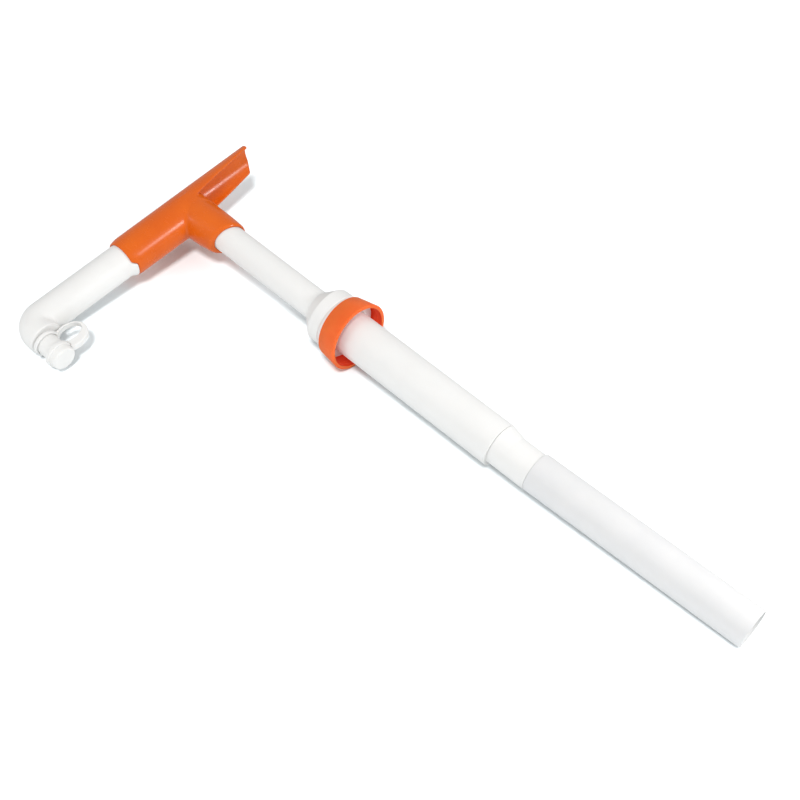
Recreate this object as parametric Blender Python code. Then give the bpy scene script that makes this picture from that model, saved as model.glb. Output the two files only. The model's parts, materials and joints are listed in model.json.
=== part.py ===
"""Hand lift pump for pails and drums, lying on its side.

The pump's own frame has its origin where the pump axis crosses the axis of the
T-handle.  +X runs along the pump to the suction end, +Y along the T-handle to the
tip of its open grip, and +Z is up.  The finished model is then moved as a whole,
so that the world origin is the middle of its footprint.

How it works: pushing the handle shuts the foot valve, and the liquid in the barrel
lifts the ball in the piston and leaves through the hollow rod, the T-handle and
the spout.  Pulling the handle shuts the piston valve and opens the foot valve.
"""

import math

import bmesh
import bpy
from mathutils import Matrix, Vector

MM = 0.001
GAP = 0.3 * MM
ROUND_STEPS = 40
SMALL_STEPS = 24
MERGE = 0.001 * MM

# T-handle: a cross bar along Y and a stem along X
BAR_RADIUS_AT_AXIS = 23.6 * MM
BAR_FLARE = 0.0062
BAR_SPOUT_END = -100.6 * MM
BAR_GRIP_END = 102.5 * MM
BAR_CHAMFER = 5.0 * MM
BAR_CHAMFER_DEPTH = 1.7 * MM
SPOUT_SOCKET_RADIUS = 19.5 * MM
SPOUT_SOCKET_FLOOR = -62.0 * MM
BAR_PASSAGE_RADIUS = 16.0 * MM
BAR_PASSAGE_END = 10.0 * MM
ROD_SOCKET_FLOOR = 22.0 * MM
ROD_PASSAGE_RADIUS = 14.0 * MM
MOUTH_X = 63.1 * MM
MOUTH_SLANT = 0.30
TROUGH_RADIUS = 21.0 * MM
LIP_X_AT_ROOT = 4.5 * MM
LIP_SLOPE = -0.149
GRIP_END_Y = 90.2 * MM
GRIP_END_SLOPE = -0.65

# Key lug of the spout and its notch in the end of the T-handle, as angles about
# the bar axis measured from +X towards +Z
NOTCH_DEPTH = 5.5 * MM
NOTCH_LOW_ANGLE = math.radians(-75.0)
NOTCH_HIGH_ANGLE_AT_MOUTH = math.radians(34.0)
NOTCH_HIGH_ANGLE_AT_FLOOR = math.radians(18.0)
LUG_RADIUS = 22.4 * MM
LUG_RADIUS_AT_MOUTH = 19.5 * MM
LUG_CLEARANCE_ANGLE = math.radians(1.2)

# Spout: a tube along the bar axis, a tight bend, and an outlet along +X
SPOUT_RADIUS = 19.2 * MM
SPOUT_BORE = 16.5 * MM
SPOUT_INNER_END = -64.0 * MM
OUTLET_AXIS_Y = -224.2 * MM
BEND_RADIUS = 14.0 * MM
OUTLET_FACE_X = 24.1 * MM
OUTLET_WALL = 2.6 * MM
NOZZLE_AXIS_Y = -227.6 * MM
NOZZLE_RADIUS = 12.2 * MM
NOZZLE_BORE = 9.6 * MM
NOZZLE_TIP_X = 45.5 * MM

# Plug and its strap
PLUG_SHANK_RADIUS = 9.2 * MM
PLUG_SHANK_LENGTH = 10.8 * MM
PLUG_FLANGE_RADIUS = 15.4 * MM
PLUG_FLANGE_THICKNESS = 4.7 * MM
PLUG_HEAD_RADIUS = 13.9 * MM
PLUG_HEAD_END_X = 58.6 * MM
STRAP_RING_X = 26.0 * MM
STRAP_RING_WIDTH = 4.0 * MM
STRAP_RING_RADIUS = 15.0 * MM
STRAP_HEIGHT = 8.0 * MM
STRAP_OUTER_CENTRE = (40.0 * MM, -205.3 * MM)
STRAP_OUTER_HALF = (15.4 * MM, 20.3 * MM)
STRAP_HOLE_CENTRE = (36.2 * MM, -203.4 * MM)
STRAP_HOLE_HALF = (9.4 * MM, 14.6 * MM)

# Hollow piston rod and the piston at its end
ROD_RADIUS = 16.9 * MM
ROD_BORE = 14.0 * MM
ROD_END_X = 262.0 * MM
PISTON_X = 262.3 * MM
PISTON_GUIDE_RADIUS = 21.5 * MM
PISTON_HUB_RADIUS = 15.0 * MM
PISTON_BALL_RADIUS = 7.5 * MM
PISTON_SEAT_RADIUS = 6.5 * MM

# Head, barrel and neck
HEAD_X = 201.5 * MM
HEAD_RADIUS = 31.4 * MM
HEAD_FLANGE_RADIUS = 33.2 * MM
HEAD_FLANGE_FACE_X = 245.1 * MM
BARREL_RADIUS = 24.13 * MM
BARREL_BORE = 22.1 * MM
BARREL_X = 222.8 * MM
BARREL_END_X = 455.1 * MM
GASKET_THICKNESS = 2.0 * MM

# Loose screw collar, which lies on its conical side
COLLAR_TILT = math.radians(5.5)
COLLAR_MOUTH_CENTRE = (261.1 * MM, 0.0, 0.5 * MM)
COLLAR_LENGTH = 24.5 * MM
COLLAR_MOUTH_RADIUS = 38.8 * MM
COLLAR_BACK_RADIUS = 35.2 * MM
COLLAR_BORE = 34.9 * MM
COLLAR_LIP_RADIUS = 33.3 * MM
COLLAR_LIP_THICKNESS = 2.5 * MM

# Foot valve and suction tube, whose axis leans towards +Y
FOOT_X = 430.0 * MM
NECK_RADIUS = 20.2 * MM
NECK_END_X = 500.0 * MM
SHOULDER_RADIUS = 22.0 * MM
SHOULDER_OFFSET = (1.71 * MM, 0.84 * MM)
SHOULDER_END_X = 474.0 * MM
SHOULDER_BORE = 19.0 * MM
FOOT_BALL_RADIUS = 9.0 * MM
FOOT_SEAT_RADIUS = 7.0 * MM
FOOT_SEAT_X = 452.0 * MM
TUBE_TILT = math.radians(1.555)
TUBE_PIVOT_X = 460.9 * MM
TUBE_MOUTH = 40.5 * MM
TUBE_END = 291.3 * MM
TUBE_RADIUS = 20.9 * MM
TUBE_BORE = 19.3 * MM
SPIGOT_RADIUS = 17.8 * MM
SPIGOT_BORE = 15.2 * MM
SPIGOT_START = 34.0 * MM
SPIGOT_END = 67.0 * MM

WHITE = (0.93, 0.93, 0.92, 1.0)
COOL_WHITE = (0.86, 0.87, 0.88, 1.0)
ORANGE = (0.80, 0.16, 0.03, 1.0)
COLLAR_ORANGE = (0.80, 0.14, 0.04, 1.0)
RUBBER_BLACK = (0.03, 0.03, 0.03, 1.0)
NITRILE_GREY = (0.20, 0.20, 0.21, 1.0)


def clear_scene():
    for item in list(bpy.data.objects):
        bpy.data.objects.remove(item, do_unlink=True)


def material(name, colour, roughness):
    mat = bpy.data.materials.new(name)
    mat.use_nodes = True
    shader = mat.node_tree.nodes["Principled BSDF"]
    shader.inputs["Base Color"].default_value = colour
    shader.inputs["Roughness"].default_value = roughness
    shader.inputs["Metallic"].default_value = 0.0
    return mat


def new_empty(name, location=(0.0, 0.0, 0.0), rotation=(0.0, 0.0, 0.0), parent=None):
    empty = bpy.data.objects.new(name, None)
    bpy.context.collection.objects.link(empty)
    empty.location = location
    empty.rotation_euler = rotation
    empty.parent = parent
    return empty


def finish_mesh(bm, name):
    """Close up a bmesh, point its faces outwards and turn it into a mesh."""
    bmesh.ops.remove_doubles(bm, verts=bm.verts, dist=MERGE)
    bmesh.ops.dissolve_degenerate(bm, edges=bm.edges, dist=MERGE)
    bmesh.ops.recalc_face_normals(bm, faces=bm.faces)
    mesh = bpy.data.meshes.new(name)
    bm.to_mesh(mesh)
    bm.free()
    return mesh


def add_object(name, mesh, parent, location=(0.0, 0.0, 0.0), rotation=(0.0, 0.0, 0.0)):
    item = bpy.data.objects.new(name, mesh)
    bpy.context.collection.objects.link(item)
    item.parent = parent
    item.location = location
    item.rotation_euler = rotation
    return item


def as_part(item, mat, smooth=True):
    item.data.materials.append(mat)
    if smooth:
        item.data.shade_smooth()
        item.data.set_sharp_from_angle(angle=math.radians(35.0))
    return item


def as_cutter(item):
    item.hide_render = True
    item.display_type = "WIRE"
    return item


def combine(target, other, operation):
    modifier = target.modifiers.new(f"{operation.lower()}_{other.name}", "BOOLEAN")
    modifier.operation = operation
    modifier.solver = "EXACT"
    modifier.object = as_cutter(other)


def turned_mesh(name, outline, steps=ROUND_STEPS):
    """Spin an outline of (x, radius) points about the X axis.

    An outline whose first and last points lie on the axis is left open there.
    """
    bm = bmesh.new()
    verts = [bm.verts.new((x, 0.0, radius)) for x, radius in outline]
    pairs = list(zip(verts, verts[1:]))
    if outline[0][1] > 0.0 or outline[-1][1] > 0.0:
        pairs.append((verts[-1], verts[0]))
    edges = [bm.edges.new(pair) for pair in pairs]
    bmesh.ops.spin(
        bm, geom=verts + edges, cent=(0.0, 0.0, 0.0), axis=(1.0, 0.0, 0.0),
        angle=math.tau, steps=steps, use_merge=True,
    )
    return finish_mesh(bm, name)


def tube_outline(start, end, outer, inner):
    return [(start, inner), (end, inner), (end, outer), (start, outer)]


def rod_outline(start, end, radius):
    return [(start, 0.0), (start, radius), (end, radius), (end, 0.0)]


def ring_outline(x, major, minor, points=8):
    """A round cord section, for an O-ring."""
    turn = math.tau / points
    return [
        (x + minor * math.cos(turn * i), major + minor * math.sin(turn * i))
        for i in range(points)
    ]


def ball_mesh(name, radius):
    bm = bmesh.new()
    bmesh.ops.create_uvsphere(bm, u_segments=16, v_segments=10, radius=radius)
    return finish_mesh(bm, name)


def prism_mesh(name, corners, bottom, top):
    """Extrude a flat XY outline from one height to another."""
    bm = bmesh.new()
    face = bm.faces.new([bm.verts.new((x, y, bottom)) for x, y in corners])
    grown = bmesh.ops.extrude_face_region(bm, geom=[face])
    moved = [v for v in grown["geom"] if isinstance(v, bmesh.types.BMVert)]
    bmesh.ops.translate(bm, verts=moved, vec=(0.0, 0.0, top - bottom))
    return finish_mesh(bm, name)


def lofted_mesh(name, rings):
    """Bridge closed rings of points, all of one length, and cap both ends."""
    bm = bmesh.new()
    loops = [[bm.verts.new(point) for point in ring] for ring in rings]
    for loop, following in zip(loops, loops[1:]):
        for i in range(len(loop)):
            j = (i + 1) % len(loop)
            bm.faces.new((loop[i], loop[j], following[j], following[i]))
    bm.faces.new(loops[0])
    bm.faces.new(list(reversed(loops[-1])))
    return finish_mesh(bm, name)


def ellipse(centre, half, points=32):
    turn = math.tau / points
    return [
        (centre[0] + half[0] * math.cos(turn * i), centre[1] + half[1] * math.sin(turn * i))
        for i in range(points)
    ]


def flat_circle(x, radius, centre, steps=ROUND_STEPS):
    """A circle square to the X axis about a (y, z) centre."""
    turns = [math.tau * i / steps for i in range(steps)]
    return [(x, centre[0] + radius * math.cos(a), centre[1] + radius * math.sin(a)) for a in turns]


def slanted_circle(x, centre_y, radius, slant, steps=ROUND_STEPS):
    """A circle about the X direction whose plane leans by slant along Y."""
    ring = []
    for i in range(steps):
        angle = math.tau * i / steps
        y = centre_y + radius * math.cos(angle)
        ring.append((x + slant * y, y, radius * math.sin(angle)))
    return ring


def stem_mesh(name, back_x):
    """The stem of the T-handle: nearly a cylinder, narrowing to its mouth."""
    return lofted_mesh(name, [
        slanted_circle(back_x, -3.6 * MM, 23.1 * MM, 0.0),
        slanted_circle(24.0 * MM, -3.1 * MM, 23.6 * MM, 0.0),
        slanted_circle(49.0 * MM, -1.7 * MM, 22.2 * MM, 0.12),
        slanted_circle(59.5 * MM, -0.9 * MM, 21.2 * MM, 0.26),
        slanted_circle(62.3 * MM, -0.6 * MM, 20.2 * MM, MOUTH_SLANT),
        slanted_circle(MOUTH_X, -0.3 * MM, 18.9 * MM, MOUTH_SLANT),
    ])


def elbow_mesh(name, radius, start_y, end_x):
    """A tube along -Y that turns to +X in a bend tighter than its own radius.

    Points nearer the bend centre than the bend radius sweep an arc.  The others
    would cross over, so they meet in the mitre line where the two legs cut.
    """
    centre_x = BEND_RADIUS
    centre_y = OUTLET_AXIS_Y + BEND_RADIUS
    bend_steps = 6
    rings = [[] for _ in range(bend_steps + 3)]
    for i in range(ROUND_STEPS):
        angle = math.tau * (i + 0.5) / ROUND_STEPS
        inward = radius * math.cos(angle)
        z = radius * math.sin(angle)
        rings[0].append((inward, start_y, z))
        for k in range(bend_steps + 1):
            sweep = 0.5 * math.pi * k / bend_steps
            reach = BEND_RADIUS - inward
            if reach > 0.0:
                x = centre_x - reach * math.cos(sweep)
                y = centre_y - reach * math.sin(sweep)
            else:
                x = inward
                y = OUTLET_AXIS_Y + inward
            rings[k + 1].append((x, y, z))
        rings[-1].append((end_x, OUTLET_AXIS_Y + inward, z))
    return lofted_mesh(name, rings)


def key_mesh(name, inner, outers, mouth_y, floor_y, low, high_at_mouth, high_at_floor):
    """A curved block about the Y axis whose upper side slants and whose outside may slope."""
    rings = []
    ends = ((mouth_y, high_at_mouth, outers[0]), (floor_y, high_at_floor, outers[1]))
    for y, high, outer in ends:
        angles = [low + (high - low) * i / 10 for i in range(11)]
        ring = [(outer * math.cos(a), y, outer * math.sin(a)) for a in angles]
        ring += [(inner * math.cos(a), y, inner * math.sin(a)) for a in reversed(angles)]
        rings.append(ring)
    return lofted_mesh(name, rings)


def bar_radius(y):
    return BAR_RADIUS_AT_AXIS + BAR_FLARE * y


ALONG_Y = (0.0, 0.0, math.radians(90.0))


def build_tee(parent, mat):
    chamfer_y = BAR_SPOUT_END + BAR_CHAMFER
    end_radius = bar_radius(chamfer_y) - BAR_CHAMFER_DEPTH
    bar = turned_mesh("handle_tee", [
        (BAR_SPOUT_END, 0.0),
        (BAR_SPOUT_END, end_radius),
        (chamfer_y, bar_radius(chamfer_y)),
        (BAR_GRIP_END, bar_radius(BAR_GRIP_END)),
        (BAR_GRIP_END, 0.0),
    ])
    bar.transform(Matrix.Rotation(math.radians(90.0), 4, "Z"))
    tee = as_part(add_object("handle_tee", bar, parent), mat)

    reach = 140.0 * MM
    lip_far_x = LIP_X_AT_ROOT + LIP_SLOPE * reach
    trough = add_object(
        "trough_cutter", turned_mesh("trough", rod_outline(0.0, reach, TROUGH_RADIUS)),
        parent, rotation=ALONG_Y,
    )
    opening = add_object("opening_cutter", prism_mesh("opening", [
        (LIP_X_AT_ROOT, 0.0), (60.0 * MM, 0.0), (60.0 * MM, reach), (lip_far_x, reach),
    ], -40.0 * MM, 40.0 * MM), parent)
    root = add_object("trough_root", stem_mesh("root", -40.0 * MM), parent)
    combine(trough, opening, "UNION")
    combine(trough, root, "DIFFERENCE")
    combine(tee, trough, "DIFFERENCE")

    low_x = -40.0 * MM
    high_x = 40.0 * MM
    grip_end = add_object("grip_end_cutter", prism_mesh("grip_end", [
        (low_x, GRIP_END_Y + GRIP_END_SLOPE * low_x),
        (high_x, GRIP_END_Y + GRIP_END_SLOPE * high_x),
        (high_x, reach),
        (low_x, reach),
    ], -40.0 * MM, 40.0 * MM), parent)
    combine(tee, grip_end, "DIFFERENCE")

    stem = add_object("stem", stem_mesh("stem", -5.0 * MM), parent)
    combine(tee, stem, "UNION")

    bar_bore = turned_mesh("bar_bore", [
        (-110.0 * MM, 0.0),
        (-110.0 * MM, SPOUT_SOCKET_RADIUS),
        (-82.0 * MM, SPOUT_SOCKET_RADIUS),
        (-82.0 * MM, 21.6 * MM),
        (-79.0 * MM, 21.6 * MM),
        (-79.0 * MM, SPOUT_SOCKET_RADIUS),
        (SPOUT_SOCKET_FLOOR, SPOUT_SOCKET_RADIUS),
        (SPOUT_SOCKET_FLOOR, BAR_PASSAGE_RADIUS),
        (BAR_PASSAGE_END, BAR_PASSAGE_RADIUS),
        (BAR_PASSAGE_END, 0.0),
    ])
    combine(tee, add_object("bar_bore_cutter", bar_bore, parent, rotation=ALONG_Y), "DIFFERENCE")

    socket = ROD_RADIUS + GAP
    rod_bore = turned_mesh("rod_bore", [
        (0.0, 0.0),
        (0.0, ROD_PASSAGE_RADIUS),
        (ROD_SOCKET_FLOOR, ROD_PASSAGE_RADIUS),
        (ROD_SOCKET_FLOOR, socket),
        (39.6 * MM, socket),
        (39.6 * MM, 20.1 * MM),
        (43.4 * MM, 20.1 * MM),
        (43.4 * MM, socket),
        (85.0 * MM, socket),
        (85.0 * MM, 0.0),
    ])
    combine(tee, add_object("rod_bore_cutter", rod_bore, parent), "DIFFERENCE")

    notch = key_mesh(
        "notch", 18.0 * MM, (27.0 * MM, 27.0 * MM),
        BAR_SPOUT_END - 0.5 * MM, BAR_SPOUT_END + NOTCH_DEPTH,
        NOTCH_LOW_ANGLE, NOTCH_HIGH_ANGLE_AT_MOUTH, NOTCH_HIGH_ANGLE_AT_FLOOR,
    )
    combine(tee, add_object("notch_cutter", notch, parent), "DIFFERENCE")
    return tee


def build_spout(parent, mat):
    outer = elbow_mesh("spout_elbow", SPOUT_RADIUS, SPOUT_INNER_END, OUTLET_FACE_X)
    spout = as_part(add_object("spout_elbow", outer, parent), mat)

    lug = key_mesh(
        "lug", 18.0 * MM, (LUG_RADIUS_AT_MOUTH, LUG_RADIUS), BAR_SPOUT_END - 2.0 * MM,
        BAR_SPOUT_END + NOTCH_DEPTH - GAP,
        NOTCH_LOW_ANGLE + LUG_CLEARANCE_ANGLE,
        NOTCH_HIGH_ANGLE_AT_MOUTH - LUG_CLEARANCE_ANGLE,
        NOTCH_HIGH_ANGLE_AT_FLOOR - LUG_CLEARANCE_ANGLE,
    )
    combine(spout, add_object("spout_lug", lug, parent), "UNION")

    nozzle_at = (0.0, NOZZLE_AXIS_Y, 0.0)
    nozzle = turned_mesh("nozzle", rod_outline(22.5 * MM, NOZZLE_TIP_X, NOZZLE_RADIUS))
    combine(spout, add_object("nozzle_body", nozzle, parent, nozzle_at), "UNION")

    bore = elbow_mesh("bore", SPOUT_BORE, SPOUT_INNER_END + 4.0 * MM, OUTLET_FACE_X - OUTLET_WALL)
    combine(spout, add_object("spout_bore_cutter", bore, parent), "DIFFERENCE")

    nozzle_bore = turned_mesh("nozzle_bore", rod_outline(16.0 * MM, 50.0 * MM, NOZZLE_BORE))
    combine(spout, add_object("nozzle_bore_cutter", nozzle_bore, parent, nozzle_at), "DIFFERENCE")
    return spout


def build_plug(parent, mat):
    shank_x = NOZZLE_TIP_X + GAP - PLUG_SHANK_LENGTH
    flange_x = NOZZLE_TIP_X + GAP
    head_x = flange_x + PLUG_FLANGE_THICKNESS
    bevel = 1.0 * MM
    outline = [
        (shank_x, 0.0),
        (shank_x, PLUG_SHANK_RADIUS - bevel),
        (shank_x + bevel, PLUG_SHANK_RADIUS),
        (flange_x, PLUG_SHANK_RADIUS),
        (flange_x, PLUG_FLANGE_RADIUS),
        (head_x - bevel, PLUG_FLANGE_RADIUS),
        (head_x, PLUG_FLANGE_RADIUS - bevel),
        (head_x, PLUG_HEAD_RADIUS),
        (PLUG_HEAD_END_X - bevel, PLUG_HEAD_RADIUS),
        (PLUG_HEAD_END_X, PLUG_HEAD_RADIUS - bevel),
        (PLUG_HEAD_END_X, 0.0),
    ]
    return as_part(add_object("spout_plug", turned_mesh("spout_plug", outline), parent), mat)


def build_strap(parent, mat):
    """A ring around the nozzle with a wide loop that runs out to the plug."""
    half = 0.5 * STRAP_HEIGHT
    strap = add_object(
        "plug_strap",
        prism_mesh("plug_strap", ellipse(STRAP_OUTER_CENTRE, STRAP_OUTER_HALF), -half, half),
        parent,
    )
    as_part(strap, mat)
    hole = prism_mesh("strap_hole", ellipse(STRAP_HOLE_CENTRE, STRAP_HOLE_HALF), -2 * half, 2 * half)
    combine(strap, add_object("strap_hole_cutter", hole, parent), "DIFFERENCE")

    nozzle_at = (0.0, NOZZLE_AXIS_Y, 0.0)
    ring_inner = NOZZLE_RADIUS + GAP
    ring_end = STRAP_RING_X + STRAP_RING_WIDTH
    near_ring = turned_mesh("near_ring", rod_outline(
        15.0 * MM, ring_end + 1.0 * MM, 0.5 * (ring_inner + STRAP_RING_RADIUS)))
    near_plug = turned_mesh("near_plug", rod_outline(
        ring_end, 70.0 * MM, PLUG_FLANGE_RADIUS + GAP))
    far_side = prism_mesh("far_side", [
        (0.0, -260.0 * MM), (80.0 * MM, -260.0 * MM),
        (80.0 * MM, NOZZLE_AXIS_Y + 13.2 * MM), (0.0, NOZZLE_AXIS_Y + 13.2 * MM),
    ], -2 * half, 2 * half)
    combine(strap, add_object("far_side_cutter", far_side, parent), "DIFFERENCE")
    combine(strap, add_object("near_ring_cutter", near_ring, parent, nozzle_at), "DIFFERENCE")
    combine(strap, add_object("near_plug_cutter", near_plug, parent, nozzle_at), "DIFFERENCE")

    ring = turned_mesh("strap_ring", tube_outline(
        STRAP_RING_X, ring_end, STRAP_RING_RADIUS, ring_inner))
    combine(strap, add_object("strap_ring_body", ring, parent, nozzle_at), "UNION")
    return strap


def turned_part(name, outline, parent, mat, steps=ROUND_STEPS):
    return as_part(add_object(name, turned_mesh(name, outline, steps), parent), mat)


def build_cage(name, parent, mat, x, length, outer, inner, bar_width, bar_thickness):
    """A press-in ring with two crossed bars that stop the ball."""
    cage = turned_part(name, tube_outline(x, x + length, outer, inner), parent, mat, SMALL_STEPS)
    reach = 0.5 * (outer + inner)
    half = 0.5 * bar_width
    box = [(x, -half), (x + bar_thickness, -half), (x + bar_thickness, half), (x, half)]
    for label, angle in (("level", 0.0), ("upright", 90.0)):
        bar = prism_mesh(f"{name}_bar_{label}", box, -reach, reach)
        item = add_object(
            f"{name}_{label}_bar", bar, parent, rotation=(math.radians(angle), 0.0, 0.0))
        combine(cage, item, "UNION")
    return cage


def build_piston(parent, seal_parent, ball_parent, mats):
    guide_end = PISTON_X + 6.7 * MM
    hub_end = guide_end + 14.0 * MM
    spigot_x = PISTON_X - 12.3 * MM
    turned_part("piston_head", [
        (spigot_x, 8.8 * MM),
        (spigot_x + 3.7 * MM, 8.8 * MM),
        (spigot_x + 3.7 * MM, 10.5 * MM),
        (hub_end, 10.5 * MM),
        (hub_end, PISTON_HUB_RADIUS),
        (guide_end, PISTON_HUB_RADIUS),
        (guide_end, PISTON_GUIDE_RADIUS),
        (PISTON_X, PISTON_GUIDE_RADIUS),
        (PISTON_X, ROD_BORE - GAP),
        (spigot_x, ROD_BORE - GAP),
    ], parent, mats["white"], SMALL_STEPS)

    base_x = guide_end + GAP
    lip_radius = BARREL_BORE - GAP
    turned_part("piston_cup_seal", [
        (base_x, PISTON_HUB_RADIUS + GAP),
        (base_x + 3.7 * MM, PISTON_HUB_RADIUS + GAP),
        (base_x + 3.7 * MM, 19.9 * MM),
        (base_x + 11.5 * MM, 20.6 * MM),
        (base_x + 11.5 * MM, lip_radius),
        (base_x + 3.0 * MM, 21.3 * MM),
        (base_x, 20.8 * MM),
    ], seal_parent, mats["seal"], SMALL_STEPS)

    seat_x = PISTON_X + 9.7 * MM
    nut_x = base_x + 4.0 * MM
    nut_end = hub_end + 5.0 * MM
    flange_x = hub_end + GAP
    turned_part("piston_retainer", [
        (seat_x, PISTON_SEAT_RADIUS),
        (nut_end, 5.6 * MM),
        (nut_end, 19.0 * MM),
        (nut_end - 1.0 * MM, 19.5 * MM),
        (nut_x, 19.5 * MM),
        (nut_x, PISTON_HUB_RADIUS + GAP),
        (flange_x, PISTON_HUB_RADIUS + GAP),
        (flange_x, 10.2 * MM),
        (seat_x, 10.2 * MM),
    ], parent, mats["white"], SMALL_STEPS)

    build_cage(
        "piston_ball_cage", parent, mats["white"], spigot_x + 4.0 * MM, 3.5 * MM,
        10.2 * MM, 8.2 * MM, 2.0 * MM, 1.1 * MM,
    )
    rise = math.sqrt(PISTON_BALL_RADIUS**2 - PISTON_SEAT_RADIUS**2)
    ball = add_object(
        "piston_valve_ball", ball_mesh("piston_valve_ball", PISTON_BALL_RADIUS),
        ball_parent, (seat_x - rise - GAP, 0.0, 0.0),
    )
    as_part(ball, mats["ball"])


def build_head(parent, mats):
    bore = ROD_RADIUS + 0.5 * MM
    cone_end = 215.6 * MM
    relief_x = 229.5 * MM
    relief_radius = 30.4 * MM
    flange_x = 240.5 * MM
    socket = BARREL_RADIUS + 0.4 * MM
    turned_part("head_cap", [
        (HEAD_X, bore),
        (208.5 * MM, bore),
        (208.5 * MM, 21.0 * MM),
        (219.0 * MM, 21.0 * MM),
        (219.0 * MM, socket),
        (HEAD_FLANGE_FACE_X, socket),
        (HEAD_FLANGE_FACE_X, HEAD_FLANGE_RADIUS),
        (flange_x, HEAD_FLANGE_RADIUS),
        (flange_x, relief_radius),
        (relief_x + 1.0 * MM, relief_radius),
        (relief_x, HEAD_RADIUS),
        (cone_end + 2.5 * MM, HEAD_RADIUS),
        (cone_end, 30.4 * MM),
        (HEAD_X + 0.4 * MM, 18.2 * MM),
        (HEAD_X, bore + 0.5 * MM),
    ], parent, mats["white"])
    turned_part(
        "rod_seal", ring_outline(210.5 * MM, 18.9 * MM, 1.6 * MM), parent, mats["seal"], SMALL_STEPS)
    sleeve = 20.7 * MM
    bush_bore = ROD_RADIUS + GAP
    turned_part("rod_guide_bush", [
        (212.5 * MM, bush_bore),
        (BARREL_X - GAP, bush_bore),
        (BARREL_X - GAP, 24.1 * MM),
        (219.4 * MM, 24.1 * MM),
        (219.4 * MM, sleeve),
        (212.5 * MM, sleeve),
    ], parent, mats["white"])
    turned_part("pump_barrel", tube_outline(
        BARREL_X, BARREL_END_X, BARREL_RADIUS, BARREL_BORE), parent, mats["white"])
    gasket_x = HEAD_FLANGE_FACE_X + GAP
    turned_part("neck_gasket", tube_outline(
        gasket_x, gasket_x + GASKET_THICKNESS, 33.0 * MM, 24.5 * MM), parent, mats["gasket"])


def build_collar(parent, mat):
    """A conical nut with an inward lip at its back; x = 0 is its open mouth."""
    back = -COLLAR_LENGTH
    lip = back + COLLAR_LIP_THICKNESS
    turned_part("collar", [
        (back, COLLAR_LIP_RADIUS),
        (lip, COLLAR_LIP_RADIUS),
        (lip + 0.4 * MM, 34.1 * MM),
        (lip + 2.5 * MM, COLLAR_BORE),
        (0.0, COLLAR_BORE),
        (0.0, COLLAR_MOUTH_RADIUS - 0.6 * MM),
        (-0.6 * MM, COLLAR_MOUTH_RADIUS),
        (back + 0.6 * MM, COLLAR_BACK_RADIUS + 0.1 * MM),
        (back, COLLAR_BACK_RADIUS - 0.5 * MM),
    ], parent, mat, 48)


def build_foot(parent, tilted, ball_parent, mats):
    insert = BARREL_BORE - GAP
    groove_x = 440.5 * MM
    groove_half = 2.0 * MM
    groove_floor = 18.9 * MM
    body = turned_part("foot_valve_body", [
        (FOOT_X, 17.5 * MM),
        (438.0 * MM, 17.5 * MM),
        (438.0 * MM, 11.0 * MM),
        (FOOT_SEAT_X, 11.0 * MM),
        (FOOT_SEAT_X, FOOT_SEAT_RADIUS),
        (FOOT_SEAT_X + 2.0 * MM, FOOT_SEAT_RADIUS),
        (466.0 * MM, 17.0 * MM),
        (493.5 * MM, 17.0 * MM),
        (493.5 * MM, 14.6 * MM),
        (NECK_END_X, 14.6 * MM),
        (NECK_END_X, NECK_RADIUS - 0.8 * MM),
        (NECK_END_X - 0.8 * MM, NECK_RADIUS),
        (BARREL_END_X, NECK_RADIUS),
        (BARREL_END_X, insert),
        (groove_x + groove_half, insert),
        (groove_x + groove_half, groove_floor),
        (groove_x - groove_half, groove_floor),
        (groove_x - groove_half, insert),
        (FOOT_X + 1.0 * MM, insert),
        (FOOT_X, insert - 1.0 * MM),
    ], parent, mats["white"])

    shoulder = lofted_mesh("shoulder", [
        flat_circle(BARREL_END_X + GAP, SHOULDER_RADIUS, SHOULDER_OFFSET),
        flat_circle(SHOULDER_END_X, NECK_RADIUS - 0.2 * MM, (0.0, 0.0)),
    ])
    shoulder_ring = add_object("shoulder_ring", shoulder, parent)
    shoulder_core = turned_mesh("shoulder_core", rod_outline(
        BARREL_END_X - 2.0 * MM, SHOULDER_END_X + 2.0 * MM, SHOULDER_BORE))
    combine(shoulder_ring, add_object("shoulder_core_cutter", shoulder_core, parent), "DIFFERENCE")
    combine(body, shoulder_ring, "UNION")

    ring_at = 50.0 * MM
    spigot = turned_mesh("spigot", [
        (SPIGOT_START, SPIGOT_BORE),
        (SPIGOT_END, SPIGOT_BORE),
        (SPIGOT_END, SPIGOT_RADIUS - 1.0 * MM),
        (SPIGOT_END - 2.0 * MM, SPIGOT_RADIUS),
        (ring_at + 1.8 * MM, SPIGOT_RADIUS),
        (ring_at + 1.8 * MM, 16.3 * MM),
        (ring_at - 1.8 * MM, 16.3 * MM),
        (ring_at - 1.8 * MM, SPIGOT_RADIUS),
        (SPIGOT_START, SPIGOT_RADIUS),
    ])
    combine(body, add_object("spigot_body", spigot, tilted), "UNION")
    passage = turned_mesh("passage", rod_outline(30.0 * MM, 80.0 * MM, SPIGOT_BORE - 0.1 * MM))
    combine(body, add_object("passage_cutter", passage, tilted), "DIFFERENCE")

    turned_part("foot_valve_o_ring", ring_outline(
        groove_x, 20.5 * MM, 1.3 * MM), parent, mats["seal"], SMALL_STEPS)
    turned_part("spigot_o_ring", ring_outline(
        ring_at, 17.8 * MM, 1.2 * MM), tilted, mats["seal"], SMALL_STEPS)
    build_cage(
        "foot_ball_cage", parent, mats["white"], FOOT_X + GAP, 7.4 * MM,
        17.2 * MM, 14.0 * MM, 2.4 * MM, 1.3 * MM,
    )
    rise = math.sqrt(FOOT_BALL_RADIUS**2 - FOOT_SEAT_RADIUS**2)
    ball = add_object(
        "foot_valve_ball", ball_mesh("foot_valve_ball", FOOT_BALL_RADIUS),
        ball_parent, (FOOT_SEAT_X - rise - GAP, 0.0, 0.0),
    )
    as_part(ball, mats["ball"])


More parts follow.
